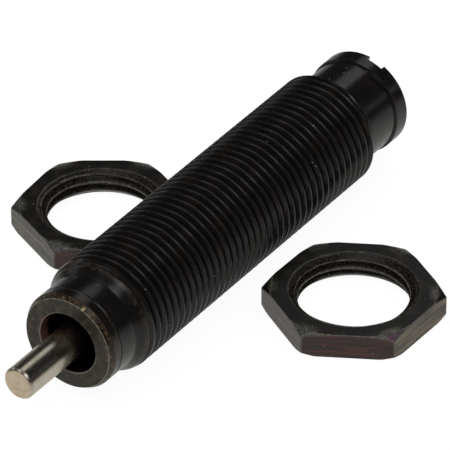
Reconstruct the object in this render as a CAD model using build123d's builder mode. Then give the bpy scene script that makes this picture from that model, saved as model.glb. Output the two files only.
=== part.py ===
from build123d import *
import math
import os

os.makedirs("parts", exist_ok=True)

# The absorber lies along X. X runs from the stop face at the front to the rear,
# Z is up, and the origin is the centre of the stop face. All sizes are in mm.

# Mounting thread and the outside of the body
thread_diameter = 19.05
thread_pitch = 25.4 / 16
thread_angle = 60.0
thread_depth_ratio = 0.5413
thread_root_ratio = 0.25
thread_front_land = 0.3
thread_end_chamfer = 0.55
shoulder_length = 3.3
nose_step = 1.37
nose_length = 4.15
relief_step = 1.68
relief_length = 1.5
neck_step = 1.25
neck_length = 6.75
neck_chamfer = 0.45

# Stop ring that closes the front and takes the load at the end of the stroke
collar_length = 2.45
collar_chamfer_length = 0.95
collar_chamfer_step = 0.5
stop_bore_diameter = 10.15
stop_bore_chamfer = 0.15
stop_spigot_length = 5.0

# Bores of the body
body_wall = 1.26
seat_step = 0.4
seat_clearance = 0.02
running_clearance = 0.04
axial_gap = 0.3

# Piston rod
stroke = 12.7
rod_diameter = 5.33
rod_end_chamfer = 0.35
rod_stud_diameter = 3.4
rod_stud_chamfer = 0.3

# Wiper, rod guide and seals
wiper_length = 1.8
wiper_lip_length = 1.3
wiper_lip_thickness = 0.5
wiper_web = 1.7
guide_length = 10.0
seal_length = 3.0
seal_wall = 2.2
seal_groove_depth = 1.5
seal_lip_thickness = 0.65
bush_wall = 1.0
o_ring_section = 1.2
o_ring_groove_width = 1.6
o_ring_squeeze_gap = 0.02
o_ring_corner = 0.35
guide_o_ring_setback = 2.2

# Return spring with its seat and the ring that holds the seat on the rod
snap_ring_wire = 0.7
snap_ring_bite = 0.3
snap_ring_opening = 40.0
spring_wire = 0.9
spring_turns = 6.5
wire_sides = 8
spring_reserve = 3.45
spring_gap = 0.8
seat_flange_length = 1.2
seat_hub_length = 1.4
seat_hub_wall = 0.5
seat_flange_margin = 0.1

# Foam accumulator around the spring
foam_gap = 0.4
foam_end_gap = 0.3

# Pressure tube with its head
tube_gap = 0.8
tube_wall = 0.7
head_length = 4.0
head_spigot_length = 2.0
head_port_diameter = 1.0
head_port_count = 4
orifice_diameter = 0.8
orifice_count = 5
orifice_end_gap = 1.5
orifice_ratio = 0.82
return_port_diameter = 1.2

# Piston
piston_rest_gap = 2.0
piston_length = 5.0
piston_clearance = 0.06
check_ring_length = 1.0
check_ring_float = 0.6
check_ring_depth = 0.9
check_ring_setback = 1.6
piston_port_diameter = 0.9
piston_port_count = 4
piston_nut_wall = 1.05
piston_nut_length = 2.2
stud_protrusion = 0.8
piston_end_gap = 2.3

# Rear plug
plug_pilot_length = 2.0
plug_spigot_length = 4.75
plug_flange_length = 2.6
plug_chamfer = 0.4
plug_step = 1.24
seam_width = 0.3
seam_depth = 0.25
slot_width = 2.9
slot_depth = 1.2
slot_angle = 107.7
fill_ball_diameter = 2.0
fill_passage_diameter = 1.0
fill_ball_cover = 0.3

# Jam nuts
nut_across_flats = 24.9
nut_thickness = 4.28
nut_top_bevel_angle = 25.0
nut_top_bevel_margin = 0.45
nut_bottom_bevel_angle = 30.0
nut_bottom_bevel_margin = 1.0
nut_countersink_rim = 0.6
nut_right_station = 42.33
nut_right_gap = 3.45
nut_right_turn = -1.15
nut_left_station = 39.52
nut_left_gap = 1.27
nut_left_turn = 4.0

# Radii that follow from the sizes above, from the thread inwards and from the rod outwards
thread_radius = thread_diameter / 2
nose_radius = thread_radius - nose_step
relief_radius = thread_radius - relief_step
neck_radius = thread_radius - neck_step
plug_radius = thread_radius - plug_step
bore_radius = nose_radius - body_wall
chamber_radius = bore_radius - seat_step
tube_outer_radius = chamber_radius - tube_gap
tube_inner_radius = tube_outer_radius - tube_wall
piston_radius = tube_inner_radius - piston_clearance
stop_bore_radius = stop_bore_diameter / 2
rod_radius = rod_diameter / 2
running_radius = rod_radius + running_clearance
stud_radius = rod_stud_diameter / 2
spring_inner_radius = rod_radius + spring_gap
spring_mean_radius = spring_inner_radius + spring_wire / 2
spring_outer_radius = spring_inner_radius + spring_wire
foam_inner_radius = spring_outer_radius + foam_gap

# Stations along X, from the stop face to the rear. The spring is as long as its closed
# coils, the stroke and a reserve, and the pressure tube holds the piston over the whole
# stroke, so the body's length follows from the stroke.
spring_length = spring_turns * spring_wire + stroke + spring_reserve
rod_front = -stroke
collar_rear = collar_length
wiper_front = collar_rear + stop_spigot_length
guide_front = wiper_front + wiper_length
guide_rear = guide_front + guide_length
seal_rear = guide_front + seal_length
snap_front = guide_rear + axial_gap
seat_front = snap_front + snap_ring_wire
spring_front = seat_front + seat_flange_length
head_front = spring_front + spring_length
head_rear = head_front + head_length
tube_front = head_rear - head_spigot_length
piston_front = head_rear + piston_rest_gap
piston_rear = piston_front + piston_length
stud_rear = piston_rear + piston_nut_length + stud_protrusion
plug_front = stud_rear + stroke + piston_end_gap
tube_rear = plug_front + plug_pilot_length
body_rear = tube_rear + plug_spigot_length
flange_rear = body_rear + plug_flange_length
neck_front = body_rear - neck_length
relief_front = neck_front - relief_length
thread_rear = relief_front - thread_end_chamfer
thread_front = collar_rear + nose_length + shoulder_length

# The floor that the body and the nuts lie on
floor_z = -thread_radius

shaft = Axis.X


def band(front, rear, inner, outer):
    """Rectangle of a turned part, from one station and radius to another, in an XZ sketch."""
    with Locations((front, inner)):
        Rectangle(rear - front, outer - inner, align=(Align.MIN, Align.MIN))


def outline(*points):
    """Closed outline of a turned part, as (station, radius) points in an XZ sketch."""
    Polygon(*points, align=None)


def finish(piece, name):
    """Labels a finished piece and writes it under its name."""
    piece.part.label = name
    export_step(piece.part, f"parts/{name}.step")


# Thread of the body: a row of ring grooves with the real pitch, depth and angle, without
# the slight lead of the helix
thread_depth = thread_pitch * thread_depth_ratio
thread_root_radius = thread_radius - thread_depth
groove_flank = thread_depth * math.tan(math.radians(thread_angle / 2))
groove_root = thread_pitch * thread_root_ratio
groove_count = int((thread_rear - thread_front - thread_front_land) / thread_pitch)
thread_outline = []
for number in range(groove_count):
    groove_front = thread_front + thread_front_land + number * thread_pitch
    thread_outline += [
        (groove_front, thread_radius),
        (groove_front + groove_flank, thread_root_radius),
        (groove_front + groove_flank + groove_root, thread_root_radius),
        (groove_front + 2 * groove_flank + groove_root, thread_radius),
    ]

# Threaded body: one turned and bored tube with a rounded shoulder in front of its thread
with BuildPart() as outer_body:
    with BuildSketch(Plane.XZ):
        with BuildLine():
            EllipticalCenterArc(
                (thread_front, nose_radius), shoulder_length, nose_step, 90, arc_size=90
            )
            Polyline(
                (thread_front, thread_radius),
                *thread_outline,
                (thread_rear, thread_radius),
                (relief_front, thread_radius - thread_end_chamfer),
                (relief_front, relief_radius),
                (neck_front, relief_radius),
                (neck_front, neck_radius - neck_chamfer),
                (neck_front + neck_chamfer, neck_radius),
                (body_rear - seam_width, neck_radius),
                (body_rear, neck_radius - seam_depth),
                (body_rear, 0),
                (collar_rear, 0),
                (collar_rear, nose_radius),
                (thread_front - shoulder_length, nose_radius),
            )
        make_face()
    revolve(axis=shaft)
    with BuildSketch(Plane.YZ.offset(collar_rear)):
        Circle(chamber_radius)
    extrude(amount=body_rear - collar_rear, mode=Mode.SUBTRACT)
    with BuildSketch(Plane.YZ.offset(collar_rear)):
        Circle(bore_radius)
    extrude(amount=guide_rear - collar_rear, mode=Mode.SUBTRACT)
    with BuildSketch(Plane.YZ.offset(tube_rear)):
        Circle(bore_radius)
    extrude(amount=body_rear - tube_rear, mode=Mode.SUBTRACT)
finish(outer_body, "outer_body")

# Stop ring: chamfered collar in front, spigot inside the body
with BuildPart() as stop_ring:
    with BuildSketch(Plane.XZ):
        outline(
            (0, stop_bore_radius + stop_bore_chamfer),
            (0, nose_radius - collar_chamfer_step),
            (collar_chamfer_length, nose_radius),
            (collar_rear, nose_radius),
            (collar_rear, bore_radius - seat_clearance),
            (wiper_front, bore_radius - seat_clearance),
            (wiper_front, stop_bore_radius),
            (stop_bore_chamfer, stop_bore_radius),
        )
    revolve(axis=shaft)
finish(stop_ring, "stop_ring")

# Wiper: rubber web behind the stop ring, with a lip that leans forward onto the rod
with BuildPart() as wiper_seal:
    with BuildSketch(Plane.XZ):
        outline(
            (wiper_front, bore_radius - seat_clearance),
            (wiper_front + wiper_length, bore_radius - seat_clearance),
            (wiper_front + wiper_length, running_radius),
            (wiper_front - wiper_lip_length, running_radius),
            (wiper_front - wiper_lip_length, running_radius + wiper_lip_thickness),
            (wiper_front, running_radius + wiper_web),
        )
    revolve(axis=shaft)
finish(wiper_seal, "wiper_seal")

# Rod guide: steel sleeve that holds the rod seal in front, the bush behind it
# and an O-ring in a groove outside
guide_radius = bore_radius - seat_clearance
seal_pocket_radius = running_radius + seal_wall + seat_clearance
bush_pocket_radius = running_radius + bush_wall + seat_clearance
guide_groove_rear = guide_rear - guide_o_ring_setback
guide_groove_floor = bore_radius - o_ring_section
with BuildPart() as rod_guide:
    with BuildSketch(Plane.XZ):
        band(guide_front, guide_rear, bush_pocket_radius, guide_radius)
        with Locations((guide_front, bush_pocket_radius)):
            Rectangle(
                seal_length,
                seal_pocket_radius - bush_pocket_radius,
                align=(Align.MIN, Align.MIN),
                mode=Mode.SUBTRACT,
            )
        with Locations((guide_groove_rear, guide_groove_floor)):
            Rectangle(
                o_ring_groove_width,
                o_ring_section,
                align=(Align.MAX, Align.MIN),
                mode=Mode.SUBTRACT,
            )
    revolve(axis=shaft)
finish(rod_guide, "rod_guide")

# Rod seal: U-cup whose groove opens to the oil side
seal_outer_radius = running_radius + seal_wall
with BuildPart() as rod_seal:
    with BuildSketch(Plane.XZ):
        outline(
            (guide_front, running_radius),
            (guide_front, seal_outer_radius),
            (seal_rear, seal_outer_radius),
            (seal_rear, seal_outer_radius - seal_lip_thickness),
            (seal_rear - seal_groove_depth, running_radius + seal_wall / 2),
            (seal_rear, running_radius + seal_lip_thickness),
            (seal_rear, running_radius),
        )
    revolve(axis=shaft)
finish(rod_seal, "rod_seal")

# Bush: bronze liner that carries the rod
with BuildPart() as rod_bush:
    with BuildSketch(Plane.XZ):
        band(seal_rear, guide_rear, running_radius, running_radius + bush_wall)
    revolve(axis=shaft)
finish(rod_bush, "rod_bush")


def o_ring(groove_rear, groove_floor):
    """Rubber ring in the middle of a groove, squeezed flat where it touches floor and bore."""
    with BuildPart() as ring:
        with BuildSketch(Plane.XZ):
            with Locations((groove_rear - o_ring_groove_width / 2, groove_floor + o_ring_section / 2)):
                Rectangle(o_ring_section, o_ring_section - o_ring_squeeze_gap)
            chamfer(vertices(), o_ring_corner)
        revolve(axis=shaft)
    return ring


guide_o_ring = o_ring(guide_groove_rear, guide_groove_floor)
finish(guide_o_ring, "guide_o_ring")

# Piston rod: polished bar with a chamfered tip, a groove for the snap ring
# and a thinner stud that carries the piston
snap_groove_radius = rod_radius - snap_ring_bite
with BuildPart() as piston_rod:
    with BuildSketch(Plane.XZ):
        outline(
            (rod_front, 0),
            (rod_front, rod_radius - rod_end_chamfer),
            (rod_front + rod_end_chamfer, rod_radius),
            (snap_front, rod_radius),
            (snap_front, snap_groove_radius),
            (seat_front, snap_groove_radius),
            (seat_front, rod_radius),
            (piston_front, rod_radius),
            (piston_front, stud_radius),
            (stud_rear - rod_stud_chamfer, stud_radius),
            (stud_rear, stud_radius - rod_stud_chamfer),
            (stud_rear, 0),
        )
    revolve(axis=shaft)
finish(piston_rod, "piston_rod")

# Snap ring: open wire ring of square section in the groove of the rod
snap_inner_radius = snap_groove_radius + seat_clearance
with BuildPart() as rod_snap_ring:
    with BuildSketch(Plane.XZ):
        band(snap_front, seat_front, snap_inner_radius, snap_inner_radius + snap_ring_wire)
    revolve(axis=shaft, revolution_arc=360 - snap_ring_opening)
finish(rod_snap_ring, "rod_snap_ring")

# Spring seat: flange that leans on the snap ring, with a hub inside the spring
seat_bore_radius = rod_radius + seat_clearance
seat_flange_radius = spring_outer_radius + seat_flange_margin
with BuildPart() as spring_seat:
    with BuildSketch(Plane.XZ):
        band(seat_front, spring_front, seat_bore_radius, seat_flange_radius)
        band(
            seat_front,
            spring_front + seat_hub_length,
            seat_bore_radius,
            seat_bore_radius + seat_hub_wall,
        )
    revolve(axis=shaft)
finish(spring_seat, "spring_seat")

# Return spring: coiled wire with ends ground flat on the seat and on the tube head.
# The wire has eight sides here, which keeps its many turns light.
with BuildPart() as return_spring:
    with BuildLine():
        coil = Helix(
            pitch=spring_length / spring_turns,
            height=spring_length,
            radius=spring_mean_radius,
            center=(spring_front, 0, 0),
            direction=(1, 0, 0),
        )
    with BuildSketch(Plane(origin=coil @ 0, x_dir=(0, 0, 1), z_dir=coil % 0)):
        RegularPolygon(spring_wire / 2, wire_sides)
    sweep(is_frenet=True)
    with BuildSketch(Plane.YZ.offset(spring_front)):
        Circle(spring_outer_radius + spring_wire)
    extrude(amount=spring_length, mode=Mode.INTERSECT)
finish(return_spring, "return_spring")

# Accumulator: closed-cell foam sleeve that takes up the oil displaced by the rod
with BuildPart() as accumulator_foam:
    with BuildSketch(Plane.XZ):
        band(
            guide_rear + foam_end_gap,
            head_front - foam_end_gap,
            foam_inner_radius,
            chamber_radius - seat_clearance,
        )
    revolve(axis=shaft)
finish(accumulator_foam, "accumulator_foam")

# Tube head: front end of the pressure chamber, bored for the rod, with oil ports
# that join the foam chamber to the gap around the tube
head_radius = chamber_radius - seat_clearance
head_spigot_radius = tube_inner_radius - seat_clearance
head_port_circle = chamber_radius - tube_gap / 2
with BuildPart() as tube_head:
    with BuildSketch(Plane.XZ):
        band(head_front, tube_front, running_radius, head_radius)
        band(tube_front, head_rear, running_radius, head_spigot_radius)
    revolve(axis=shaft)
    with BuildSketch(Plane.YZ.offset(head_front)):
        with PolarLocations(head_port_circle, head_port_count):
            Circle(head_port_diameter / 2)
    extrude(amount=head_length, mode=Mode.SUBTRACT)
finish(tube_head, "tube_head")

# Pressure tube: the metering orifices in front of the piston crowd together towards the
# end of the stroke, so the load meets less and less open area. Return ports ring the front end.
orifice_row = stroke - 2 * orifice_end_gap
orifice_step = orifice_row * (1 - orifice_ratio) / (1 - orifice_ratio ** (orifice_count - 1))
orifice_station = piston_rear + orifice_end_gap
with BuildPart() as pressure_tube:
    with BuildSketch(Plane.XZ):
        band(tube_front, tube_rear, tube_inner_radius, tube_outer_radius)
    revolve(axis=shaft)
    for _ in range(orifice_count):
        with BuildSketch(Plane.XY):
            with Locations((orifice_station, 0)):
                Circle(orifice_diameter / 2)
        extrude(amount=tube_outer_radius, mode=Mode.SUBTRACT)
        orifice_station += orifice_step
        orifice_step *= orifice_ratio
    with BuildSketch(Plane.XZ):
        with Locations((head_rear + return_port_diameter, 0)):
            Circle(return_port_diameter / 2)
    extrude(amount=tube_outer_radius, both=True, mode=Mode.SUBTRACT)
finish(pressure_tube, "pressure_tube")

# Piston head: groove for the check ring, and ports that the ring opens on the way out
ring_groove_length = check_ring_length + check_ring_float
ring_groove_front = piston_front + check_ring_setback
ring_groove_radius = piston_radius - check_ring_depth
piston_port_circle = (stud_radius + ring_groove_radius) / 2
with BuildPart() as piston_head:
    with BuildSketch(Plane.XZ):
        band(piston_front, piston_rear, stud_radius + seat_clearance, piston_radius)
        with Locations((ring_groove_front, ring_groove_radius)):
            Rectangle(
                ring_groove_length,
                check_ring_depth,
                align=(Align.MIN, Align.MIN),
                mode=Mode.SUBTRACT,
            )
    revolve(axis=shaft)
    with BuildSketch(Plane.YZ.offset(piston_front)):
        with PolarLocations(piston_port_circle, piston_port_count):
            Circle(piston_port_diameter / 2)
    extrude(amount=piston_length, mode=Mode.SUBTRACT)
finish(piston_head, "piston_head")

# Check ring: floats between the walls of the piston's groove
check_ring_front = ring_groove_front + check_ring_float / 2
with BuildPart() as check_ring:
    with BuildSketch(Plane.XZ):
        band(
            check_ring_front,
            check_ring_front + check_ring_length,
            ring_groove_radius + running_clearance,
            tube_inner_radius - running_clearance,
        )
    revolve(axis=shaft)
finish(check_ring, "check_ring")

# Piston nut: small hexagon nut on the stud
with BuildPart() as piston_nut:
    with BuildSketch(Plane.YZ.offset(piston_rear)):
        RegularPolygon(stud_radius + piston_nut_wall, 6, major_radius=False)
        Circle(stud_radius + seat_clearance, mode=Mode.SUBTRACT)
    extrude(amount=piston_nut_length)
finish(piston_nut, "piston_nut")

# Rear plug: pilot in the pressure tube, spigot in the body, slotted flange outside,
# and a stepped passage that the fill ball closes
plug_pilot_radius = tube_inner_radius - seat_clearance
plug_spigot_radius = bore_radius - seat_clearance
plug_groove_floor = bore_radius - o_ring_section
plug_groove_rear = (tube_rear + body_rear + o_ring_groove_width) / 2
slot_floor = flange_rear - slot_depth
ball_center = slot_floor - fill_ball_cover - fill_ball_diameter / 2
with BuildPart() as rear_plug:
    with BuildSketch(Plane.XZ):
        outline(
            (plug_front, 0),
            (plug_front, plug_pilot_radius),
            (tube_rear, plug_pilot_radius),
            (tube_rear, plug_spigot_radius),
            (plug_groove_rear - o_ring_groove_width, plug_spigot_radius),
            (plug_groove_rear - o_ring_groove_width, plug_groove_floor),
            (plug_groove_rear, plug_groove_floor),
            (plug_groove_rear, plug_spigot_radius),
            (body_rear, plug_spigot_radius),
            (body_rear, plug_radius),
            (flange_rear - plug_chamfer, plug_radius),
            (flange_rear, plug_radius - plug_chamfer),
            (flange_rear, 0),
        )
    revolve(axis=shaft)
    with BuildSketch(Plane.YZ.offset(flange_rear)):
        Rectangle(thread_diameter, slot_width, rotation=slot_angle)
    extrude(amount=-slot_depth, mode=Mode.SUBTRACT)
    with BuildSketch(Plane.YZ.offset(plug_front)):
        Circle(fill_passage_diameter / 2)
    extrude(amount=flange_rear - plug_front, mode=Mode.SUBTRACT)
    with BuildSketch(Plane.YZ.offset(ball_center - fill_ball_diameter / 2)):
        Circle(fill_ball_diameter / 2)
    extrude(amount=flange_rear, mode=Mode.SUBTRACT)
finish(rear_plug, "rear_plug")

plug_o_ring = o_ring(plug_groove_rear, plug_groove_floor)
finish(plug_o_ring, "plug_o_ring")

# Fill ball: steel ball pressed into the passage of the plug
with BuildPart() as fill_ball:
    with BuildSketch(Plane.XZ):
        with Locations((ball_center, 0)):
            Circle(fill_ball_diameter / 2 - seat_clearance)
            Rectangle(
                fill_ball_diameter,
                fill_ball_diameter,
                align=(Align.CENTER, Align.MAX),
                mode=Mode.SUBTRACT,
            )
    revolve(axis=shaft)
finish(fill_ball, "fill_ball")


def jam_nut(station, side, turn):
    """Thin hexagon nut lying flat on the floor, bevelled and countersunk on both faces."""
    top_slope = math.tan(math.radians(nut_top_bevel_angle))
    bottom_slope = math.tan(math.radians(nut_bottom_bevel_angle))
    flat_radius = nut_across_flats / 2
    corner_radius = flat_radius / math.cos(math.pi / 6)
    top_radius = flat_radius + nut_top_bevel_margin
    bottom_radius = flat_radius + nut_bottom_bevel_margin
    minor_radius = thread_radius - thread_pitch * thread_depth_ratio
    rim_radius = thread_radius + nut_countersink_rim
    rim_depth = rim_radius - minor_radius
    base = Plane(origin=(station, side, floor_z)).rotated((0, 0, turn))
    section = Plane(origin=base.origin, x_dir=base.x_dir, z_dir=-base.y_dir)
    nut_axis = Axis(base.origin, base.z_dir)
    with BuildPart() as nut:
        with BuildSketch(base):
            RegularPolygon(flat_radius, 6, major_radius=False)
        extrude(amount=nut_thickness)
        with BuildSketch(section):
            outline(
                (0, 0),
                (bottom_radius, 0),
                (corner_radius, (corner_radius - bottom_radius) * bottom_slope),
                (corner_radius, nut_thickness - (corner_radius - top_radius) * top_slope),
                (top_radius, nut_thickness),
                (0, nut_thickness),
            )
        revolve(axis=nut_axis, mode=Mode.INTERSECT)
        with BuildSketch(section):
            outline(
                (0, 0),
                (rim_radius, 0),
                (minor_radius, rim_depth),
                (minor_radius, nut_thickness - rim_depth),
                (rim_radius, nut_thickness),
                (0, nut_thickness),
            )
        revolve(axis=nut_axis, mode=Mode.SUBTRACT)
    return nut


# The gap of each nut is measured at the height of its top, where the round side of the
# body comes nearest to the hexagon's flat
body_half_width = math.sqrt(thread_radius**2 - (thread_radius - nut_thickness) ** 2)
nut_side = body_half_width + nut_across_flats / 2
jam_nut_right = jam_nut(nut_right_station, -nut_side - nut_right_gap, nut_right_turn)
finish(jam_nut_right, "jam_nut_right")
jam_nut_left = jam_nut(nut_left_station, nut_side + nut_left_gap, nut_left_turn)
finish(jam_nut_left, "jam_nut_left")
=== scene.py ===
import math

import bmesh
import bpy
import numpy as np
from mathutils import Matrix, Vector


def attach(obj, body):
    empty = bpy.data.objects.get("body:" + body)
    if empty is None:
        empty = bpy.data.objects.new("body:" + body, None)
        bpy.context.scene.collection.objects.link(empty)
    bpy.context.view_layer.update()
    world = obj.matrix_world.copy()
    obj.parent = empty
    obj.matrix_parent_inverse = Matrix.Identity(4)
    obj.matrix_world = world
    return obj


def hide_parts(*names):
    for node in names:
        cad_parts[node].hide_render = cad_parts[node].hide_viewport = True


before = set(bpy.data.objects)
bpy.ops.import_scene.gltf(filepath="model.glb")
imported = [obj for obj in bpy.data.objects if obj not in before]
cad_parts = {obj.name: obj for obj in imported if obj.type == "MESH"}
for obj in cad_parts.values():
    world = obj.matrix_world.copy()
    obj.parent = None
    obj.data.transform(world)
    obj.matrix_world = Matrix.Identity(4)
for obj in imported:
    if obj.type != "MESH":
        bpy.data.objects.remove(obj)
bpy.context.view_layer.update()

# The shock absorber lies along X, front face of the stop ring at x = 0, Z up, floor below.
# Sizes are in millimetres up to new_piece, which turns them into metres.
MM = 0.001
FLOOR_Z = -9.525

# Body: the thread, its start behind the shoulder and its end at the neck
THREAD_RADIUS = 9.525
THREAD_PITCH = 25.4 / 16
THREAD_DEPTH = 0.93
CREST_HALF_WIDTH = 0.17
CREST_ROUNDING = 0.11
ROOT_ROUNDING = 0.09
CREST_STATION = 10.17
RUN_IN_FRONT = 7.3
RUN_IN_REAR = 9.6
FLARE_FRONT = 6.2
FLARE_REAR = 9.4
FLARE_POWER = 0.75
THREAD_REAR = 70.62
THREAD_END_SLOPE = math.tan(math.radians(60))
NECK_FRONT = 70.95
FLANGE_FRONT = 78.55
BODY_REAR = 79.2
NOSE_RADIUS = 8.155
NECK_RADIUS = 7.93
FLANGE_RADIUS = 8.275
NOSE_CHAMFER = 0.28
COLLAR_REAR = 2.45
BORE_RADIUS = 6.895
CHAMBER_RADIUS = 6.495
GUIDE_REAR = 19.25
TUBE_REAR = 74.45

# Stop ring
COLLAR_CHAMFER = (0.95, 0.5)
STOP_BORE_RADIUS = 5.075
STOP_BORE_CHAMFER = 0.15
SPIGOT_RADIUS = 6.875
SPIGOT_REAR = 7.45

# Piston rod
ROD_FRONT = -12.7
ROD_RADIUS = 2.665
ROD_CHAMFER = 0.35
SNAP_GROOVE = (19.55, 20.25, 2.365)
PISTON_FRONT = 49.45
STUD_RADIUS = 1.7
STUD_REAR = 57.45
STUD_CHAMFER = 0.3

# Jam nuts
NUT_THICKNESS = 4.28
NUT_FLAT_RADIUS = 12.45
NUT_CORNER_ROUNDING = 0.4
NUT_TOP_RADIUS = 12.9
NUT_TOP_SLOPE = math.tan(math.radians(25))
NUT_BOTTOM_RADIUS = 13.45
NUT_BOTTOM_SLOPE = math.tan(math.radians(30))
NUT_MIDDLE_RADIUS = 11.5
NUT_MINOR_RADIUS = 8.6657
NUT_MAJOR_RADIUS = 9.62
NUT_CREST_HALF_WIDTH = 0.12
NUT_RIM_RADIUS = 10.125
NUT_RIM_DROP = 0.06
NUT_SINK_SLOPE = math.tan(math.radians(26))
NUT_BOTTOM_RIM_RADIUS = 9.8
NUT_RIM_SUPPORT = 0.15

# Rounded outer edges of a nut: steps inward from the side and along the height from the edge
NUT_BOTTOM_EDGE = ((0.12, 0.0), (0.05, 0.02), (0.012, 0.07), (0.0, 0.14), (0.0, 0.22))
NUT_TOP_EDGE = ((0.0, 0.2), (0.0, 0.1), (0.015, 0.045), (0.05, 0.004))
NUT_BEVEL_INSETS = (0.1, 0.17)
NUT_BOTTOM_FLAT_INSET = 0.14
NUT_TOP_FLAT_INSET = 0.2
NUT_TOP_FLAT_SUPPORT = 0.06

# Each nut: place of its bottom centre, turn about Z in degrees, start of its thread
NUTS = {
    "right": ((42.33, -23.8508), -1.15, 0.35),
    "left": ((39.52, 21.6708), 4.0, 0.8),
}

# Degrees from a corner of a nut to the columns on both sides of it
NUT_COLUMN_STEPS = (0.0, 0.35, 0.7, 1.05, 1.5, *range(3, 30, 3))

# Meshes: columns round an axis, points of a rounded corner, its support rows as a multiple of
# the rounding, the angle that shades sharp and those between which an edge gets wear and a
# painted highlight
COLUMNS = 128
ARC_POINTS = 5
SUPPORT = 1.7
SHARP_ANGLE = math.radians(40)
EDGE_FROM = math.radians(7)
EDGE_FULL = math.radians(16)
WELD_DISTANCE = 2e-7
DEGENERATE_DISTANCE = 1e-7


def softened(corners):
    """Outline points from (x, y, edge) corners: each corner is rounded over the length edge."""
    points = []
    for i, (x, y, edge) in enumerate(corners):
        here = np.array((x, y), float)
        if not edge:
            points.append(here)
            continue
        sides = []
        for other in (corners[i - 1], corners[(i + 1) % len(corners)]):
            side = np.array(other[:2], float) - here
            sides.append(side / np.linalg.norm(side))
        back, ahead = sides
        points.append(here + back * edge * SUPPORT)
        for t in np.linspace(0, 1, ARC_POINTS):
            points.append(here + back * edge * (1 - t) ** 2 + ahead * edge * t**2)
        points.append(here + ahead * edge * SUPPORT)
    return points


def new_piece(name, points, faces, body, slot, *nodes):
    """Smooth welded mesh from points in millimetres, riding on a body in place of CAD nodes."""
    mesh = bpy.data.meshes.new(name)
    mesh.from_pydata((np.asarray(points, float) * MM).tolist(), [], faces)
    shape = bmesh.new()
    shape.from_mesh(mesh)
    bmesh.ops.remove_doubles(shape, verts=shape.verts, dist=WELD_DISTANCE)
    bmesh.ops.dissolve_degenerate(shape, edges=shape.edges, dist=DEGENERATE_DISTANCE)
    bmesh.ops.recalc_face_normals(shape, faces=shape.faces)
    for face in shape.faces:
        face.smooth = True
    edge_layer = shape.verts.layers.float.new("edge")
    for vertex in shape.verts:
        turn = max(edge.calc_face_angle_signed(0) for edge in vertex.link_edges)
        vertex[edge_layer] = min(max((turn - EDGE_FROM) / (EDGE_FULL - EDGE_FROM), 0), 1)
    shape.to_mesh(mesh)
    shape.free()
    mesh.set_sharp_from_angle(angle=SHARP_ANGLE)
    piece = bpy.data.objects.new(name, mesh)
    bpy.context.scene.collection.objects.link(piece)
    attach(piece, body)
    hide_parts(*nodes)
    return piece


def ring_faces(rows, columns, closed):
    """Quads of a grid of rows that each go once round."""
    faces = []
    for i in range(rows if closed else rows - 1):
        low, high = i * columns, (i + 1) % rows * columns
        for j in range(columns):
            k = (j + 1) % columns
            faces.append((low + j, low + k, high + k, high + j))
    return faces


def turned_points(profile, columns=COLUMNS):
    """Rows of points round X, one row for each (station, radius) of the profile."""
    angle = np.arange(columns) * 2 * math.pi / columns
    rows = []
    for station, radius in profile:
        row = [np.full(columns, station), radius * np.cos(angle), radius * np.sin(angle)]
        rows.append(np.stack(row, 1))
    return np.concatenate(rows)


def turned_piece(name, corners, body, slot, *nodes):
    """Turned piece from the closed outline of its half section."""
    profile = softened(corners)
    faces = ring_faces(len(profile), COLUMNS, True)
    return new_piece(name, turned_points(profile), faces, body, slot, *nodes)


def thread_offsets(crest, root):
    """Stations over one pitch from crest to crest, close together at its rounded edges."""
    half = THREAD_PITCH / 2
    flank = np.linspace(crest, root, 4)[1:-1]
    side = [0.0, crest - CREST_ROUNDING, crest - CREST_ROUNDING / 3, crest + CREST_ROUNDING / 3]
    side += [crest + CREST_ROUNDING, *flank, root - ROOT_ROUNDING, root, root + ROOT_ROUNDING]
    side += [half]
    back = [THREAD_PITCH - x for x in side[1:-1]][::-1]
    return np.array(side + back)


def rounded_step(x, edge, rounding):
    """Distance past an edge, with the kink at the edge rounded off."""
    t = np.clip((x - edge + rounding) / (2 * rounding), 0, 1)
    return np.where(x < edge + rounding, t * t * rounding, x - edge)


def thread_drop(station, angle, crest, depth, start):
    """Depth below the crest of a 60 degree thread at a station and angle."""
    phase = (station - start) / THREAD_PITCH - angle / (2 * math.pi)
    away = np.abs(phase - np.round(phase)) * THREAD_PITCH
    drop = rounded_step(away, crest, CREST_ROUNDING) * math.sqrt(3)
    over = rounded_step(drop, depth, ROOT_ROUNDING * math.sqrt(3))
    return drop - over


def helical_rows(low, high, start, offsets, angle):
    """Stations of a grid that follows the helix, cut off at both ends."""
    turns = math.ceil((high - low) / THREAD_PITCH) + 3
    first = start + (math.floor((low - start) / THREAD_PITCH) - 2) * THREAD_PITCH
    rows = [first + k * THREAD_PITCH + offset for k in range(turns + 1) for offset in offsets]
    rows = np.array(rows)[:, None] + THREAD_PITCH * angle[None, :] / (2 * math.pi)
    return np.clip(rows, low, high)


def helical_faces(rows, columns, shift, base):
    """Quads of a helical grid: the last column joins the first one some rows on, or back."""
    faces = []
    for i in range(rows - 1):
        for j in range(columns):
            k, step = (j + 1, 0) if j + 1 < columns else (0, shift)
            if not 0 <= i + step < rows - 1:
                continue
            here, other = base + i * columns, base + (i + step) * columns
            faces.append((here + j, other + k, other + columns + k, here + columns + j))
    return faces


def closing_faces(last, columns):
    """Quads that join the last row of a closed grid to its first one."""
    return [(last + j, last + (j + 1) % columns, (j + 1) % columns, j) for j in range(columns)]


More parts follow.
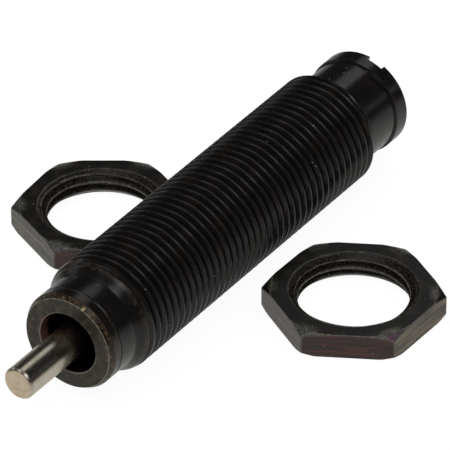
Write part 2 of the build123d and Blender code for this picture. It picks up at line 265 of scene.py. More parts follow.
def threaded_body():
    """Body with its helical thread, which starts behind the shoulder and ends at the neck."""
    angle = np.arange(COLUMNS) * 2 * math.pi / COLUMNS
    front = softened(
        [
            (GUIDE_REAR, CHAMBER_RADIUS, 0),
            (GUIDE_REAR, BORE_RADIUS, 0),
            (COLLAR_REAR, BORE_RADIUS, 0),
            (COLLAR_REAR, NOSE_RADIUS - NOSE_CHAMFER, 0.04),
            (COLLAR_REAR + NOSE_CHAMFER, NOSE_RADIUS, 0.06),
            (FLARE_FRONT, NOSE_RADIUS, 0),
        ]
    )
    rear = softened(
        [
            (NECK_FRONT, THREAD_RADIUS, 0),
            (NECK_FRONT, NECK_RADIUS, 0.1),
            (FLANGE_FRONT, NECK_RADIUS, 0.1),
            (FLANGE_FRONT + 0.05, FLANGE_RADIUS, 0.1),
            (BODY_REAR, FLANGE_RADIUS, 0),
            (BODY_REAR, BORE_RADIUS, 0),
            (TUBE_REAR, BORE_RADIUS, 0),
            (TUBE_REAR, CHAMBER_RADIUS, 0),
        ]
    )[1:]
    offsets = thread_offsets(CREST_HALF_WIDTH, CREST_HALF_WIDTH + THREAD_DEPTH / math.sqrt(3))
    stations = helical_rows(FLARE_FRONT, NECK_FRONT, CREST_STATION, offsets, angle)
    drop = thread_drop(stations, angle[None, :], CREST_HALF_WIDTH, THREAD_DEPTH, CREST_STATION)
    cut = THREAD_DEPTH * np.clip((stations - RUN_IN_FRONT) / (RUN_IN_REAR - RUN_IN_FRONT), 0, 1)
    drop = np.maximum(drop - (THREAD_DEPTH - cut), 0)
    flare = np.clip((stations - FLARE_FRONT) / (FLARE_REAR - FLARE_FRONT), 0, 1) ** FLARE_POWER
    envelope = NOSE_RADIUS + (THREAD_RADIUS - NOSE_RADIUS) * np.sin(math.pi / 2 * flare) ** 2
    end = THREAD_RADIUS - np.maximum(stations - THREAD_REAR, 0) * THREAD_END_SLOPE
    radius = np.minimum(envelope, end) - drop
    thread = np.stack([stations, radius * np.cos(angle), radius * np.sin(angle)], 2)
    points = np.concatenate([turned_points(front), thread.reshape(-1, 3), turned_points(rear)])
    count = len(stations)
    base = len(front) * COLUMNS
    faces = ring_faces(len(front) + 1, COLUMNS, False)
    faces += helical_faces(count, COLUMNS, len(offsets), base)
    last = base + (count - 1) * COLUMNS
    faces += [tuple(last + i for i in face) for face in ring_faces(len(rear) + 1, COLUMNS, False)]
    faces += closing_faces((len(front) + count + len(rear) - 1) * COLUMNS, COLUMNS)
    return new_piece("threaded_body", points, faces, "housing", "blackened_steel", "outer_body")


def nut_columns():
    """Angles round a nut, close together at its six corners."""
    angles = []
    for corner in range(0, 360, 60):
        for step in NUT_COLUMN_STEPS:
            angles += [corner - step, corner + step]
        angles.append(corner + 30)
    return np.radians(sorted({round(a, 3) for a in angles}))


def nut_outline(angle):
    """Radius of a hexagon with rounded corners, whose corners are at 0, 60, ... degrees."""
    local = np.abs((angle + math.pi / 6) % (math.pi / 3) - math.pi / 6)
    flat = NUT_FLAT_RADIUS / np.cos(math.pi / 6 - local)
    centre = (NUT_FLAT_RADIUS - NUT_CORNER_ROUNDING) / math.cos(math.pi / 6)
    arc = centre * np.cos(local) + np.sqrt(
        np.maximum(NUT_CORNER_ROUNDING**2 - (centre * np.sin(local)) ** 2, 0)
    )
    tangent = math.atan2(NUT_CORNER_ROUNDING / 2, centre + NUT_CORNER_ROUNDING * math.sqrt(3) / 2)
    return np.where(local < tangent, arc, flat)


def jam_nut(side):
    """Thin hexagon nut with bevelled faces, countersinks and a cut thread."""
    (x, y), turn, start = NUTS[side]
    angle = nut_columns()
    columns = len(angle)
    outer = nut_outline(angle)
    top = NUT_THICKNESS - np.maximum(outer - NUT_TOP_RADIUS, 0) * NUT_TOP_SLOPE
    low = np.maximum(outer - NUT_BOTTOM_RADIUS, 0) * NUT_BOTTOM_SLOPE
    rows = []

    def row(radius, height):
        rows.append((np.broadcast_to(radius, columns), np.broadcast_to(height, columns)))

    def lerp(a, b, t):
        return a + (b - a) * t

    def bevel_height(inset):
        return np.minimum(top + inset * NUT_TOP_SLOPE, NUT_THICKNESS)

    row(NUT_BOTTOM_RIM_RADIUS, 0.0)
    row(NUT_BOTTOM_RIM_RADIUS + NUT_RIM_SUPPORT, 0.0)
    row(NUT_MIDDLE_RADIUS, 0.0)
    bottom_flat = np.minimum(NUT_BOTTOM_RADIUS, outer - NUT_BOTTOM_FLAT_INSET)
    for t in (0.96, 1.0):
        row(lerp(NUT_MIDDLE_RADIUS, bottom_flat, t), 0.0)
    for t in (0.5, 0.9):
        row(lerp(bottom_flat, outer - NUT_BOTTOM_EDGE[0][0], t), lerp(0.0, low, t))
    for inset, rise in NUT_BOTTOM_EDGE:
        row(outer - inset, low + rise)
    for t in (0.3, 0.7):
        row(outer, lerp(low + NUT_BOTTOM_EDGE[-1][1], top - NUT_TOP_EDGE[0][1], t))
    for inset, drop in NUT_TOP_EDGE:
        row(outer - inset, top - drop)
    for inset in NUT_BEVEL_INSETS:
        row(outer - inset, bevel_height(inset))
    inset = NUT_BEVEL_INSETS[-1]
    top_flat = np.minimum(NUT_TOP_RADIUS, outer - NUT_TOP_FLAT_INSET)
    for t in (0.5, 0.94):
        row(lerp(outer - inset, top_flat, t), lerp(bevel_height(inset), NUT_THICKNESS, t))
    row(top_flat - NUT_TOP_FLAT_SUPPORT, NUT_THICKNESS)
    row(NUT_MIDDLE_RADIUS, NUT_THICKNESS)
    row(NUT_RIM_RADIUS + NUT_RIM_SUPPORT, NUT_THICKNESS)
    row(NUT_RIM_RADIUS + NUT_RIM_DROP, NUT_THICKNESS)
    row(NUT_RIM_RADIUS + NUT_RIM_DROP / 3, NUT_THICKNESS - NUT_RIM_DROP / 3)

    depth = NUT_MAJOR_RADIUS - NUT_MINOR_RADIUS
    crest = NUT_CREST_HALF_WIDTH
    offsets = thread_offsets(crest, crest + depth / math.sqrt(3))
    heights = helical_rows(0.0, NUT_THICKNESS - NUT_RIM_DROP, start, offsets, angle)
    drop = thread_drop(heights, angle[None, :], crest, depth, start)
    top_sink = NUT_RIM_RADIUS - (NUT_THICKNESS - heights) / NUT_SINK_SLOPE
    bottom_sink = NUT_BOTTOM_RIM_RADIUS - heights
    bore = np.maximum(NUT_MINOR_RADIUS + drop, np.maximum(top_sink, bottom_sink))

    place = Matrix.Rotation(math.radians(turn), 3, "Z")
    radius = np.concatenate([np.array([r for r, _ in rows]), bore[::-1]])
    height = np.concatenate([np.array([h for _, h in rows]), heights[::-1]])
    points = np.stack([radius * np.cos(angle), radius * np.sin(angle), height], 2).reshape(-1, 3)
    points = points @ np.array(place).T + np.array((x, y, FLOOR_Z))

    base = len(rows) * columns
    faces = ring_faces(len(rows) + 1, columns, False)
    faces += helical_faces(len(heights), columns, -len(offsets), base)
    faces += closing_faces(base + (len(heights) - 1) * columns, columns)
    name = f"jam_nut_{side}"
    return new_piece(f"cut_{name}", points, faces, name, "nut_steel", name)


def stop_ring():
    length, step = COLLAR_CHAMFER
    return turned_piece(
        "turned_stop_ring",
        [
            (0, STOP_BORE_RADIUS + STOP_BORE_CHAMFER, 0.05),
            (0, NOSE_RADIUS - step, 0.1),
            (length, NOSE_RADIUS, 0.07),
            (COLLAR_REAR, NOSE_RADIUS, 0.07),
            (COLLAR_REAR, SPIGOT_RADIUS, 0),
            (SPIGOT_REAR, SPIGOT_RADIUS, 0.05),
            (SPIGOT_REAR, STOP_BORE_RADIUS, 0.05),
            (STOP_BORE_CHAMFER, STOP_BORE_RADIUS, 0.05),
        ],
        "housing",
        "stop_ring_steel",
        "stop_ring",
    )


def piston_rod():
    snap_front, snap_rear, snap_radius = SNAP_GROOVE
    return turned_piece(
        "polished_piston_rod",
        [
            (ROD_FRONT, 0, 0),
            (ROD_FRONT, ROD_RADIUS - ROD_CHAMFER, 0.09),
            (ROD_FRONT + ROD_CHAMFER, ROD_RADIUS, 0.09),
            (snap_front, ROD_RADIUS, 0),
            (snap_front, snap_radius, 0),
            (snap_rear, snap_radius, 0),
            (snap_rear, ROD_RADIUS, 0),
            (PISTON_FRONT, ROD_RADIUS, 0),
            (PISTON_FRONT, STUD_RADIUS, 0),
            (STUD_REAR - STUD_CHAMFER, STUD_RADIUS, 0),
            (STUD_REAR, STUD_RADIUS - STUD_CHAMFER, 0),
            (STUD_REAR, 0, 0),
        ],
        "rod",
        "polished_steel",
        "piston_rod",
    )


# Directions for the materials, and places in millimetres: a nick on the rim of the stop ring and
# a stain at a corner of the right nut
UP = (0, 0, 1)
RIGHT = (0, -1, 0)
LOWER_RIGHT = (0, -0.8, -0.6)
LEFT_OF_FRONT = (-0.87, 0.5, 0)
TO_CAMERA = (-0.876, -0.483, 0)
NICK = (0, -2.85, 7.2)
STAIN = (35.1, -35.4, 0)


class Finish:
    """Node material with a colour, roughness and bump that vary over the surface."""

    def __init__(self, name, **sockets):
        self.material = bpy.data.materials.new(name)
        self.material.use_nodes = True
        self.nodes = self.material.node_tree.nodes
        self.links = self.material.node_tree.links
        self.shader = self.nodes["Principled BSDF"]
        self.place = self.nodes.new("ShaderNodeTexCoord").outputs["Object"]
        for socket, value in sockets.items():
            self.shader.inputs[socket.replace("_", " ")].default_value = value

    def noise(self, size, detail=4.0, stretch=(1, 1, 1), roughness=0.55):
        """Noise with features of about a size in millimetres, drawn out along an axis."""
        mapping = self.nodes.new("ShaderNodeMapping")
        mapping.inputs["Scale"].default_value = stretch
        self.links.new(self.place, mapping.inputs["Vector"])
        noise = self.nodes.new("ShaderNodeTexNoise")
        noise.inputs["Scale"].default_value = 1 / (size * MM)
        noise.inputs["Detail"].default_value = detail
        noise.inputs["Roughness"].default_value = roughness
        self.links.new(mapping.outputs["Vector"], noise.inputs["Vector"])
        return noise.outputs["Fac"]

    def specks(self, size, spacing):
        """Sparse round specks: one in places, nought elsewhere."""
        cells = self.nodes.new("ShaderNodeTexVoronoi")
        cells.inputs["Scale"].default_value = 1 / (spacing * MM)
        self.links.new(self.place, cells.inputs["Vector"])
        edge = size / 2 / spacing
        return self.ramp(cells.outputs["Distance"], (edge * 0.7, 1.0), (edge * 1.2, 0.0))

    def station(self, low, high):
        """Rises from nought to one between two stations along X, in millimetres."""
        split = self.nodes.new("ShaderNodeSeparateXYZ")
        self.links.new(self.place, split.inputs["Vector"])
        return self.stretch(split.outputs["X"], low * MM, high * MM)

    def distance(self, low, high, centre=(0, 0, 0), axis=(1, 0, 0)):
        """Rises from nought to one between two distances from an axis, in millimetres."""
        away = self.vector("SUBTRACT", self.place, [c * MM for c in centre])
        flat = self.vector("MULTIPLY", away, [1 - abs(a) for a in axis])
        length = self.nodes.new("ShaderNodeVectorMath")
        length.operation = "LENGTH"
        self.links.new(flat, length.inputs[0])
        return self.stretch(length.outputs["Value"], low * MM, high * MM)

    def facing(self, direction, low, high):
        """Rises from nought to one as the surface turns towards a direction."""
        normal = self.nodes.new("ShaderNodeNewGeometry").outputs["Normal"]
        dot = self.nodes.new("ShaderNodeVectorMath")
        dot.operation = "DOT_PRODUCT"
        self.links.new(normal, dot.inputs[0])
        dot.inputs[1].default_value = direction
        return self.stretch(dot.outputs["Value"], low, high)

    def vector(self, operation, source, value):
        """Result of a vector operation on a source and a constant vector."""
        node = self.nodes.new("ShaderNodeVectorMath")
        node.operation = operation
        self.links.new(source, node.inputs[0])
        node.inputs[1].default_value = value
        return node.outputs["Vector"]

    def stretch(self, source, low, high):
        """Maps a value between two limits to the range from nought to one."""
        spread = self.nodes.new("ShaderNodeMapRange")
        spread.inputs["From Min"].default_value = low
        spread.inputs["From Max"].default_value = high
        self.links.new(source, spread.inputs["Value"])
        return spread.outputs["Result"]

    def times(self, first, second):
        """Product of two values, of which the second may be a number."""
        product = self.nodes.new("ShaderNodeMath")
        product.operation = "MULTIPLY"
        self.links.new(first, product.inputs[0])
        if isinstance(second, (int, float)):
            product.inputs[1].default_value = second
        else:
            self.links.new(second, product.inputs[1])
        return product.outputs["Value"]

    def patches(self, size):
        """Irregular patches of a size in millimetres: one inside, nought between them."""
        return self.ramp(self.noise(size, 5.0), (0.42, 0.0), (0.58, 1.0))

    def edge_wear_and_highlight(self, strength, patches=1.2):
        """Wear and a painted highlight on the convex edges, broken up into patches of a size in
        millimetres.
        """
        edge = self.nodes.new("ShaderNodeAttribute")
        edge.attribute_name = "edge"
        broken = self.ramp(self.noise(patches, 5.0), (0.36, 0.25), (0.6, 1.0))
        return self.times(self.times(edge.outputs["Fac"], broken), strength)

    def ramp(self, source, *stops):
        """Colours along a value: each stop is a place and a colour or a grey."""
        ramp = self.nodes.new("ShaderNodeValToRGB")
        elements = ramp.color_ramp.elements
        while len(elements) < len(stops):
            elements.new(0.5)
        for element, (place, colour) in zip(elements, stops):
            element.position = place
            colour = colour if isinstance(colour, tuple) else (colour,) * 3
            element.color = (*colour, 1)
        self.links.new(source, ramp.inputs["Fac"])
        return ramp.outputs["Color"]

    def plain(self, shade):
        """Single grey, to mix with other sources."""
        node = self.nodes.new("ShaderNodeRGB")
        node.outputs[0].default_value = (shade, shade, shade, 1)
        return node.outputs[0]

    def mixed(self, factor, first, second):
        """Mix of two colours, of which the second may be a plain colour."""
        mix = self.nodes.new("ShaderNodeMix")
        mix.data_type = "RGBA"
        self.links.new(factor, mix.inputs["Factor"])
        self.links.new(first, mix.inputs["A"])
        if isinstance(second, tuple):
            mix.inputs["B"].default_value = (*second, 1)
        else:
            self.links.new(second, mix.inputs["B"])
        return mix.outputs["Result"]

    def set(self, socket, source):
        """Feeds a socket of the shader."""
        self.links.new(source, self.shader.inputs[socket])

    def bump(self, *layers):
        """Bumps one on another: each layer is a height source and its depth in micrometres."""
        normal = None
        for source, depth in layers:
            bump = self.nodes.new("ShaderNodeBump")
            bump.inputs["Distance"].default_value = depth * 1e-6
            self.links.new(source, bump.inputs["Height"])
            if normal:
                self.links.new(normal, bump.inputs["Normal"])
            normal = bump.outputs["Normal"]
        self.links.new(normal, self.shader.inputs["Normal"])

    def onto(self, *pieces):
        """Gives pieces this material alone."""
        for piece in pieces:
            piece.data.materials.clear()
            piece.data.materials.append(self.material)


def blackened_steel():
    finish = Finish("black_oxide", IOR=1.5)
    cloud = finish.noise(2.6)
    colour = finish.ramp(
        cloud,
        (0.3, (0.0045, 0.006, 0.0056)),
        (0.5, (0.0062, 0.0062, 0.0058)),
        (0.7, (0.013, 0.0085, 0.0075)),
    )
    # Convex edges and thread crests painted lighter: wear, partly a painted highlight on the crest
    # lines.
    colour = finish.mixed(finish.edge_wear_and_highlight(0.6, 0.6), colour, (0.024, 0.021, 0.018))
    first = finish.ramp(finish.station(7.0, 8.6), (0.3, 0.0), (0.45, 0.8), (0.9, 0.6), (1.0, 0.0))
    colour = finish.mixed(finish.times(first, finish.patches(0.8)), colour, (0.045, 0.031, 0.023))
    colour = finish.mixed(finish.specks(0.2, 2.3), colour, (0.3, 0.3, 0.28))
    finish.set("Base Color", colour)
    finish.set("Roughness", finish.ramp(finish.noise(0.9), (0.3, 0.17), (0.7, 0.28)))
    finish.set("Specular IOR Level", finish.ramp(finish.station(66, 72), (0.0, 0.36), (1.0, 0.5)))
    finish.bump((finish.noise(0.3, 2), 1.0), (finish.noise(0.07, 3), 0.5))
    return finish


def stop_ring_steel():
    finish = Finish("browned_steel", IOR=1.5)
    cloud = finish.noise(1.1, 6.0)
    grain = finish.noise(0.35, 5.0, roughness=0.7)
    side = finish.ramp(cloud, (0.3, (0.0035, 0.0035, 0.0035)), (0.7, (0.009, 0.008, 0.0065)))
    chamfer = finish.ramp(
        finish.noise(0.5, 6.0),
        (0.36, (0.004, 0.003, 0.002)),
        (0.5, (0.025, 0.016, 0.007)),
        (0.68, (0.085, 0.055, 0.024)),
    )
    face = finish.ramp(
        cloud,
        (0.36, (0.009, 0.0095, 0.0075)),
        (0.5, (0.03, 0.026, 0.019)),
        (0.64, (0.085, 0.064, 0.044)),
    )
    fine = finish.noise(0.2, 4.0, roughness=0.7)
    face = finish.mixed(finish.ramp(fine, (0.42, 0.95), (0.54, 0.0)), face, (0.004, 0.004, 0.0035))
    # Painted reflection and painted shade on the bore wall: reddish where it faces down and to the
    # right, towards the floor, dark grey where it faces away.
    bore_wall_painted_light = finish.ramp(grain, (0.3, (0.07, 0.03, 0.024)), (0.7, (0.17, 0.085, 0.068)))
    bore_wall_painted_light = finish.mixed(finish.facing(LOWER_RIGHT, -0.1, 0.5), finish.plain(0.006), bore_wall_painted_light)
    colour = finish.mixed(finish.station(0.03, 0.1), face, chamfer)
    colour = finish.mixed(finish.station(0.85, 1.0), colour, side)
    rim = finish.distance(5.0, 5.4)
    inside = finish.ramp(rim, (0.3, 1.0), (0.6, 0.0))
    # Painted shade: from 1.5 mm into the bore on, the wall is painted nearly black.
    depth = finish.ramp(finish.station(1.5, 2.3), (0.0, 0.0), (1.0, 1.0))
    colour = finish.mixed(inside, colour, finish.mixed(depth, bore_wall_painted_light, (0.0015, 0.0012, 0.001)))
    nick = finish.ramp(finish.distance(0.0, 1.0, NICK), (0.12, 1.0), (0.3, 0.0))
    nick = finish.times(nick, finish.ramp(finish.station(0, 1), (0.7, 1.0), (0.9, 0.0)))
    colour = finish.mixed(nick, colour, (0.36, 0.27, 0.13))
    lip = finish.ramp(rim, (0.3, 0.0), (0.36, 0.9), (0.56, 0.9), (0.66, 0.0))
    lip = finish.times(lip, finish.ramp(finish.station(0.0, 0.3), (0.6, 1.0), (0.8, 0.0)))
    lip = finish.times(lip, finish.ramp(finish.noise(0.5, 5.0), (0.38, 0.35), (0.56, 1.0)))
    colour = finish.mixed(lip, colour, (0.3, 0.27, 0.22))
    # Convex edges painted light grey: wear, partly a painted highlight.
    colour = finish.mixed(finish.edge_wear_and_highlight(0.9, 0.7), colour, (0.29, 0.265, 0.215))
    colour = finish.mixed(finish.specks(0.2, 1.6), colour, (0.4, 0.38, 0.34))
    finish.set("Base Color", colour)
    # Painted shade: deep in the bore the specular reflection is turned off.
    gloss = finish.mixed(finish.times(inside, depth), finish.plain(0.5), finish.plain(0.0))
    finish.set("Specular IOR Level", gloss)
    tint = finish.ramp(cloud, (0.3, (1.0, 0.97, 0.92)), (0.7, (1.0, 0.88, 0.72)))
    finish.set("Specular Tint", tint)
    rough = finish.ramp(grain, (0.3, 0.3), (0.7, 0.45))
    rough = finish.mixed(finish.station(0.85, 1.0), rough, finish.plain(0.26))
    finish.set("Roughness", rough)
    finish.bump((finish.noise(0.25, 3), 2.0), (grain, 1.5))
    return finish


def nut_steel():
    finish = Finish("nut_oxide", IOR=1.5)
    cloud = finish.noise(2.4, 5.0)
    grain = finish.noise(0.3, 5.0, roughness=0.7)
    top = finish.ramp(
        cloud,
        (0.3, (0.0045, 0.0078, 0.0055)),
        (0.5, (0.0085, 0.0078, 0.0066)),
        (0.7, (0.021, 0.0145, 0.0105)),
    )
    bore = finish.ramp(
        grain,
        (0.4, (0.003, 0.004, 0.003)),
        (0.52, (0.011, 0.008, 0.006)),
        (0.64, (0.06, 0.044, 0.03)),
    )
    (x, y), _, _ = NUTS["right"]
    # What is further than this from the axis of the right nut is on the left one
    left = finish.distance(17, 18, (x, y, 0), UP)
    outside = None
    for (x, y), _, _ in NUTS.values():
        away = finish.distance(10.0, 10.2, (x, y, 0), UP)
        outside = finish.times(outside, away) if outside else away
    streaks = finish.noise(0.42, 6.0, (0.05, 0.05, 1), 0.72)

    def milled(*colours):
        return finish.ramp(streaks, *zip((0.38, 0.5, 0.62), colours))

    red = milled((0.007, 0.006, 0.005), (0.032, 0.012, 0.01), (0.085, 0.03, 0.023))
    tan = milled((0.014, 0.01, 0.007), (0.07, 0.052, 0.031), (0.21, 0.16, 0.1))
    brown = milled((0.012, 0.01, 0.008), (0.04, 0.024, 0.018), (0.1, 0.062, 0.048))
    olive = milled((0.018, 0.018, 0.014), (0.05, 0.048, 0.035), (0.16, 0.152, 0.118))
    # Painted reflection: side faces turned to the right get the lighter tan, the others the red.
    side = finish.mixed(finish.facing(RIGHT, 0.8, 0.97), red, tan)
    front = finish.mixed(left, brown, olive)
    side = finish.mixed(finish.facing(LEFT_OF_FRONT, 0.85, 0.97), side, front)
    colour = finish.mixed(finish.facing(UP, 0.2, 0.6), side, top)
    # Painted reflection: bevels that face up and towards the camera are painted light grey.
    bevel_painted_reflection = finish.ramp(
        grain,
        (0.36, (0.02, 0.022, 0.021)),
        (0.5, (0.085, 0.088, 0.084)),
        (0.62, (0.2, 0.19, 0.18)),
    )
    turned = finish.facing(TO_CAMERA, 0.24, 0.4)
    raised = finish.facing(UP, 0.7, 0.85)
    colour = finish.mixed(finish.times(finish.times(turned, raised), outside), colour, bevel_painted_reflection)
    away = finish.distance(0.0, 2.0, STAIN, UP)
    stain = finish.ramp(away, (0.2, 0.8), (0.7, 0.0))
    stain = finish.times(finish.times(stain, raised), finish.patches(0.7))
    colour = finish.mixed(stain, colour, (0.1, 0.025, 0.08))
    colour = finish.mixed(outside, bore, colour)
    # Corners and bevel edges painted light grey: wear, partly a painted highlight.
    colour = finish.mixed(finish.edge_wear_and_highlight(0.8, 0.7), colour, (0.16, 0.15, 0.12))
    colour = finish.mixed(finish.specks(0.14, 1.5), colour, (0.4, 0.37, 0.3))
    finish.set("Base Color", colour)
    finish.set("Roughness", finish.ramp(grain, (0.3, 0.22), (0.7, 0.4)))
    finish.bump((streaks, 2.5), (grain, 1.6))
    return finish


def polished_steel():
    finish = Finish("polished_rod", Metallic=1.0)
    cloud = finish.noise(1.2, 5.0)
    shaft = finish.ramp(cloud, (0.3, (0.56, 0.51, 0.42)), (0.7, (0.66, 0.61, 0.52)))
    end = finish.ramp(
        cloud,
        (0.3, (0.6, 0.49, 0.35)),
        (0.5, (0.74, 0.62, 0.45)),
        (0.7, (0.8, 0.69, 0.52)),
    )
    behind = finish.station(ROD_FRONT + 0.04, ROD_FRONT + 0.1)
    finish.set("Base Color", finish.mixed(behind, end, shaft))
    finish.set("Roughness", finish.ramp(finish.noise(1.5, 1), (0.3, 0.26), (0.7, 0.3)))
    finish.bump((finish.noise(0.5, 2, (0.2, 1, 1)), 0.2))
    return finish


def bare_steel():
    finish = Finish("bare_steel", Metallic=1.0)
    cloud = finish.noise(1.2)
    colour = finish.ramp(cloud, (0.3, (0.42, 0.41, 0.39)), (0.7, (0.55, 0.54, 0.52)))
    finish.set("Base Color", colour)
    finish.set("Roughness", finish.ramp(finish.noise(0.5), (0.3, 0.25), (0.7, 0.38)))
    finish.bump((finish.noise(0.1, 2, (0.2, 1, 1)), 1.5))
    return finish


def bronze():
    finish = Finish("bronze", Metallic=1.0)
    cloud = finish.noise(0.8)
    colour = finish.ramp(cloud, (0.3, (0.42, 0.24, 0.09)), (0.7, (0.58, 0.36, 0.16)))
    finish.set("Base Color", colour)
    finish.set("Roughness", finish.ramp(finish.noise(0.4), (0.3, 0.3), (0.7, 0.45)))
    finish.bump((finish.noise(0.1, 2), 3.0))
    return finish


def black_rubber():
    finish = Finish("black_rubber", IOR=1.5)
    finish.set("Base Color", finish.ramp(finish.noise(0.9), (0.3, 0.008), (0.7, 0.017)))
    finish.set("Roughness", finish.ramp(finish.noise(0.4), (0.3, 0.5), (0.7, 0.7)))
    finish.bump((finish.noise(0.12, 3), 5.0))
    return finish


def closed_cell_foam():
    finish = Finish("closed_cell_foam", IOR=1.45)
    cells = finish.noise(0.35, 3)
    colour = finish.ramp(cells, (0.35, (0.02, 0.02, 0.021)), (0.65, (0.06, 0.06, 0.062)))
    finish.set("Base Color", colour)
    finish.set("Roughness", finish.ramp(cells, (0.3, 0.85), (0.7, 0.98)))
    finish.bump((cells, 40.0))
    return finish


body = threaded_body()
ring = stop_ring()
rod = piston_rod()
nut_right = jam_nut("right")
nut_left = jam_nut("left")

finishes = {
    "blackened_steel": blackened_steel(),
    "stop_ring_steel": stop_ring_steel(),
    "nut_steel": nut_steel(),
    "polished_steel": polished_steel(),
    "bare_steel": bare_steel(),
    "bronze": bronze(),
    "black_rubber": black_rubber(),
    "closed_cell_foam": closed_cell_foam(),
}
finishes["blackened_steel"].onto(body)
finishes["stop_ring_steel"].onto(ring)
finishes["polished_steel"].onto(rod)
finishes["nut_steel"].onto(nut_right, nut_left)
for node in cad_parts.values():
    finishes[node.data.materials[0].name.split(".")[0]].onto(node)


# Floor: white to the camera with a faint contact shadow. Metal and gloss show it white near
# the object and darker further away, where the studio's light ends. The glow is a list of
# distances, as parts of its reach, and strengths; each ray has its grey and its glow.
FLOOR_HALF_WIDTH = 1600
FLOOR_CENTRE = (35, 0)
FLOOR_GLOW_REACH = 400
FLOOR_GLOW = ((0.0, 0.62), (0.12, 0.5), (0.25, 0.3), (0.55, 0.09), (1.0, 0.015))
FLOOR_GLOW_TINT = (1, 0.985, 0.955)
FLOOR_TINT = (1, 0.99, 0.97)
FLOOR_GREY = 0.78
FLOOR_GREY_IN_GLOSS = 0.2
FLOOR_GREY_TO_CAMERA = 0.12
FLOOR_GLOW_TO_CAMERA = 0.94


def tinted(strength, tint):
    """Opaque colour of a strength and a tint."""
    return (*(strength * part for part in tint), 1)


def floor_material():
    material = bpy.data.materials.new("floor")
    material.use_nodes = True
    nodes, links = material.node_tree.nodes, material.node_tree.links
    nodes.clear()
    output = nodes.new("ShaderNodeOutputMaterial")
    path = nodes.new("ShaderNodeLightPath")
    away = nodes.new("ShaderNodeVectorMath")
    away.operation = "DISTANCE"
    away.inputs[1].default_value = [c * MM for c in (*FLOOR_CENTRE, FLOOR_Z)]
    links.new(nodes.new("ShaderNodeTexCoord").outputs["Object"], away.inputs[0])
    spread = nodes.new("ShaderNodeMath")
    spread.operation = "DIVIDE"
    spread.inputs[1].default_value = FLOOR_GLOW_REACH * MM
    links.new(away.outputs["Value"], spread.inputs[0])
    fade = nodes.new("ShaderNodeValToRGB")
    links.new(spread.outputs[0], fade.inputs["Fac"])
    elements = fade.color_ramp.elements
    while len(elements) < len(FLOOR_GLOW):
        elements.new(0.5)
    for element, (place, strength) in zip(elements, FLOOR_GLOW):
        element.position = place
        element.color = tinted(strength, FLOOR_GLOW_TINT)

    def diffuse(grey):
        shader = nodes.new("ShaderNodeBsdfDiffuse")
        shader.inputs["Color"].default_value = tinted(grey, FLOOR_TINT)
        return shader.outputs[0]

    def seen_by(ray, shader, grey, emission):
        both = nodes.new("ShaderNodeAddShader")
        links.new(diffuse(grey), both.inputs[0])
        links.new(emission.outputs[0], both.inputs[1])
        mix = nodes.new("ShaderNodeMixShader")
        links.new(path.outputs[ray], mix.inputs["Fac"])
        links.new(shader, mix.inputs[1])
        links.new(both.outputs[0], mix.inputs[2])
        return mix.outputs[0]

    in_gloss = nodes.new("ShaderNodeEmission")
    links.new(fade.outputs["Color"], in_gloss.inputs["Color"])
    to_camera = nodes.new("ShaderNodeEmission")
    to_camera.inputs["Strength"].default_value = FLOOR_GLOW_TO_CAMERA
    shader = diffuse(FLOOR_GREY)
    shader = seen_by("Is Glossy Ray", shader, FLOOR_GREY_IN_GLOSS, in_gloss)
    shader = seen_by("Is Camera Ray", shader, FLOOR_GREY_TO_CAMERA, to_camera)
    links.new(shader, output.inputs["Surface"])
    return material


def studio_floor():
    reach, level = FLOOR_HALF_WIDTH * MM, FLOOR_Z * MM
    corners = [(x * reach, y * reach, level) for x, y in ((-1, -1), (1, -1), (1, 1), (-1, 1))]
    mesh = bpy.data.meshes.new("floor")
    mesh.from_pydata(corners, [], [(0, 1, 2, 3)])
    mesh.materials.append(floor_material())
    floor = bpy.data.objects.new("floor", mesh)
    bpy.context.scene.collection.objects.link(floor)


studio_floor()


# World: a soft grey fill, dark in reflections, white to the camera
WORLD_FILL = 0.55
WORLD_SEEN_BY = (("Is Glossy Ray", 0.018), ("Is Camera Ray", 1))


def studio_world():
    world = bpy.data.worlds.new("studio")
    bpy.context.scene.world = world
    world.use_nodes = True
    nodes, links = world.node_tree.nodes, world.node_tree.links
    path = nodes.new("ShaderNodeLightPath")
    colour = nodes.new("ShaderNodeRGB").outputs[0]
    colour.default_value = (WORLD_FILL, WORLD_FILL, WORLD_FILL, 1)
    for ray, shade in WORLD_SEEN_BY:
        mix = nodes.new("ShaderNodeMix")
        mix.data_type = "RGBA"
        links.new(path.outputs[ray], mix.inputs["Factor"])
        links.new(colour, mix.inputs["A"])
        mix.inputs["B"].default_value = (shade, shade, shade, 1)
        colour = mix.outputs["Result"]
    links.new(colour, nodes["Background"].inputs["Color"])


studio_world()


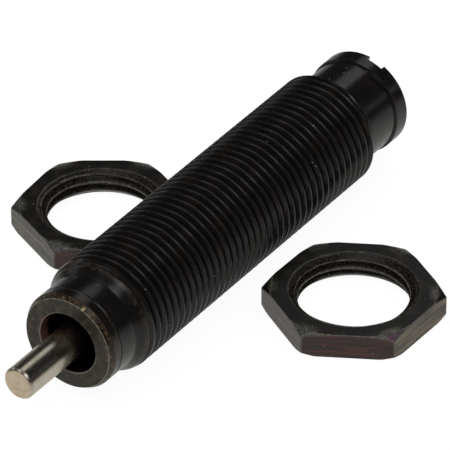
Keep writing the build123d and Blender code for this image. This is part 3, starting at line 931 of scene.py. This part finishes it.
# Lamps: name, azimuth and elevation in degrees, distance, width and height in metres, radiance
LAMPS = [
    ("rear_box", 17, 46, 1.0, 0.36, 0.34, 0.85),
    ("front_low_box", -157, 35, 1.0, 0.3, 0.34, 2.1),
    ("front_high_box", -127, 64, 1.0, 0.4, 0.4, 1.9),
    ("left_box", 120, 9, 1.0, 0.16, 0.1, 1.5),
    ("left_wide_box", 91, 18, 1.0, 0.24, 0.42, 0.5),
    ("top_box", 124, 74, 1.2, 0.5, 0.3, 0.4),
    ("tip_box", 150, 45, 1.0, 0.3, 0.16, 2.2),
    ("tip_left_box", 112, 23, 1.0, 0.16, 0.2, 1.3),
    ("zenith_box", 68, 83, 1.2, 0.4, 0.4, 0.5),
    ("back_right_box", -34, 14, 1.0, 0.3, 0.14, 0.5),
    ("back_left_box", 62, 15, 1.0, 0.3, 0.16, 0.8),
]
LAMP_AIM = (35, 0, 0)


def towards(azimuth, elevation):
    """Unit vector at an azimuth and elevation in radians."""
    level = math.cos(elevation)
    return Vector((level * math.cos(azimuth), level * math.sin(azimuth), math.sin(elevation)))


def soft_box(name, azimuth, elevation, distance, width, height, radiance):
    """Area lamp that faces the object from an azimuth and elevation."""
    lamp = bpy.data.lights.new(name, "AREA")
    lamp.shape = "RECTANGLE"
    lamp.size = width
    lamp.size_y = height
    lamp.energy = radiance * math.pi * width * height
    box = bpy.data.objects.new(name, lamp)
    away = towards(math.radians(azimuth), math.radians(elevation))
    box.location = Vector(LAMP_AIM) * MM + away * distance
    box.rotation_euler = away.to_track_quat("Z", "Y").to_euler()
    bpy.context.scene.collection.objects.link(box)


for settings in LAMPS:
    soft_box(*settings)


# Camera at the photograph's place, its angles in radians
SENSOR = 36
LENS = 469.94
CAMERA_PLACE = (-580.164, -424.799, 514.304)
CAMERA_AZIMUTH = 0.5989863
CAMERA_ELEVATION = 0.6010812
CAMERA_ROLL = -0.0027866


def photo_camera():
    data = bpy.data.cameras.new("camera")
    data.sensor_width = SENSOR
    data.lens = LENS
    data.clip_start = 0.01
    data.clip_end = 20
    forward = towards(CAMERA_AZIMUTH, -CAMERA_ELEVATION)
    level = Vector((math.sin(CAMERA_AZIMUTH), -math.cos(CAMERA_AZIMUTH), 0))
    upright = level.cross(forward)
    right = level * math.cos(CAMERA_ROLL) + upright * math.sin(CAMERA_ROLL)
    up = upright * math.cos(CAMERA_ROLL) - level * math.sin(CAMERA_ROLL)
    turn = Matrix((right, up, -forward)).transposed()
    camera = bpy.data.objects.new("camera", data)
    camera.matrix_world = Matrix.Translation(Vector(CAMERA_PLACE) * MM) @ turn.to_4x4()
    bpy.context.scene.collection.objects.link(camera)
    bpy.context.scene.camera = camera


photo_camera()
bpy.context.scene.view_settings.view_transform = "Standard"
